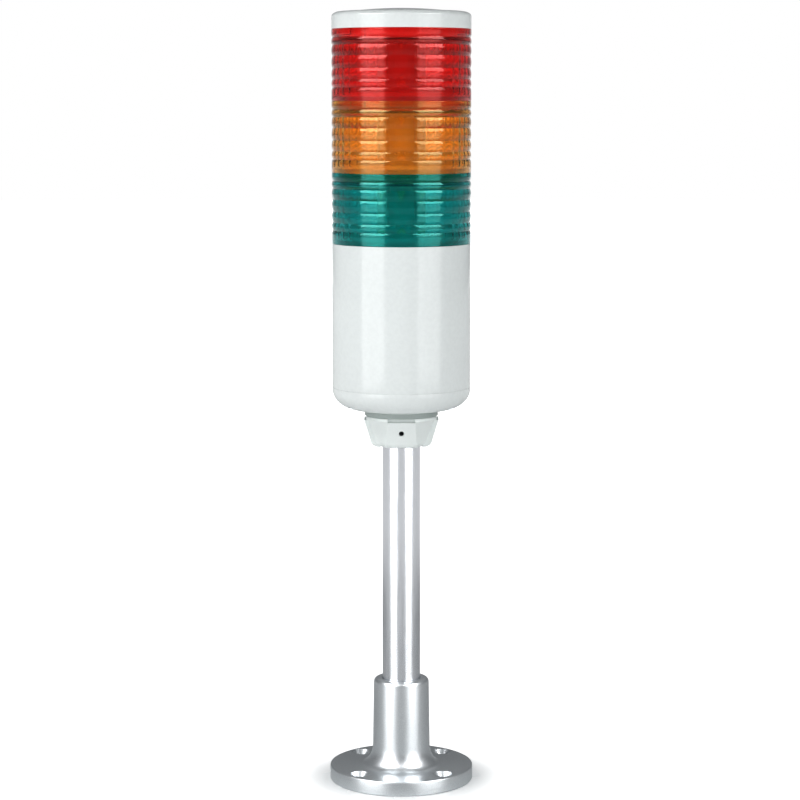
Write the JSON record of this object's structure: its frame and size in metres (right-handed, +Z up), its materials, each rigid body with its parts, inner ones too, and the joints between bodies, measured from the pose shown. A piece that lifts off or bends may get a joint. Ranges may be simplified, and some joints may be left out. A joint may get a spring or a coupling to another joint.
{
  "type": "stack light",
  "caption": "Signal tower with red, amber and green ribbed lamp modules and a cap twist-locked on a white housing, clamped on a pole in a cast flanged base.",
  "frame": {"origin": "centre of the flange's underside", "axes": "+Z up along the pole, the front of the light faces -Y"},
  "size_m": [0.084, 0.084, 0.4503],
  "materials": {
    "cast_aluminium": "satin, die cast and tumbled",
    "drawn_aluminium": "bright drawn tube",
    "collar_plastic": "moulded, fine satin",
    "housing_plastic": "moulded, glossy",
    "green_acrylic": "clear tinted, polished",
    "amber_acrylic": "clear tinted, polished",
    "red_acrylic": "clear tinted, polished",
    "inner_plastic": "moulded, white",
    "rubber": "matte",
    "grey_rubber": "silicone, matte",
    "steel": "zinc plated",
    "black_steel": "black oxide",
    "board": "solder mask",
    "white_board": "white solder mask",
    "led": "clear resin over phosphor",
    "brass": "plain",
    "black_plastic": "moulded",
    "blue_plastic": "moulded",
    "green_plastic": "moulded",
    "dark_laminate": "varnished laminations",
    "can_aluminium": "sleeved can"
  },
  "bodies": {
    "stand": {"base_casting": "cast_aluminium", "base_set_screw": "black_steel", "pole": "drawn_aluminium", "pole_collar": "collar_plastic", "collar_set_screws": "black_steel", "neck_gasket": "grey_rubber", "clamp_nut": "inner_plastic", "bottom_cover": "housing_plastic", "cover_screws": "steel", "housing": "housing_plastic", "power_board": "board", "transformer": "dark_laminate", "capacitors": "can_aluminium", "relays": "blue_plastic", "terminal_block": "green_plastic", "board_connector": "black_plastic", "contact_plate": "inner_plastic", "housing_seal": "rubber"},
    "green_module": {"green_lens": "green_acrylic", "green_led_carrier": "inner_plastic", "green_led_boards": "white_board", "green_leds": "led", "green_contacts": "brass", "green_seal": "rubber"},
    "amber_module": {"amber_lens": "amber_acrylic", "amber_led_carrier": "inner_plastic", "amber_led_boards": "white_board", "amber_leds": "led", "amber_contacts": "brass", "amber_seal": "rubber"},
    "red_module": {"red_lens": "red_acrylic", "red_led_carrier": "inner_plastic", "red_led_boards": "white_board", "red_leds": "led", "red_contacts": "brass", "red_seal": "rubber"},
    "head_cap": {"cap": "housing_plastic"}
  },
  "joints": [
    {"name": "green_twist", "type": "hinge", "parent": "stand", "child": "green_module", "pos_m": [0, 0, 0.3164], "axis": [0, 0, 1], "range_deg": [0, 20]},
    {"name": "amber_twist", "type": "hinge", "parent": "green_module", "child": "amber_module", "pos_m": [0, 0, 0.3571], "axis": [0, 0, 1], "range_deg": [0, 20]},
    {"name": "red_twist", "type": "hinge", "parent": "amber_module", "child": "red_module", "pos_m": [0, 0, 0.3978], "axis": [0, 0, 1], "range_deg": [0, 20]},
    {"name": "cap_twist", "type": "hinge", "parent": "red_module", "child": "head_cap", "pos_m": [0, 0, 0.4385], "axis": [0, 0, 1], "range_deg": [0, 20]}
  ]
}
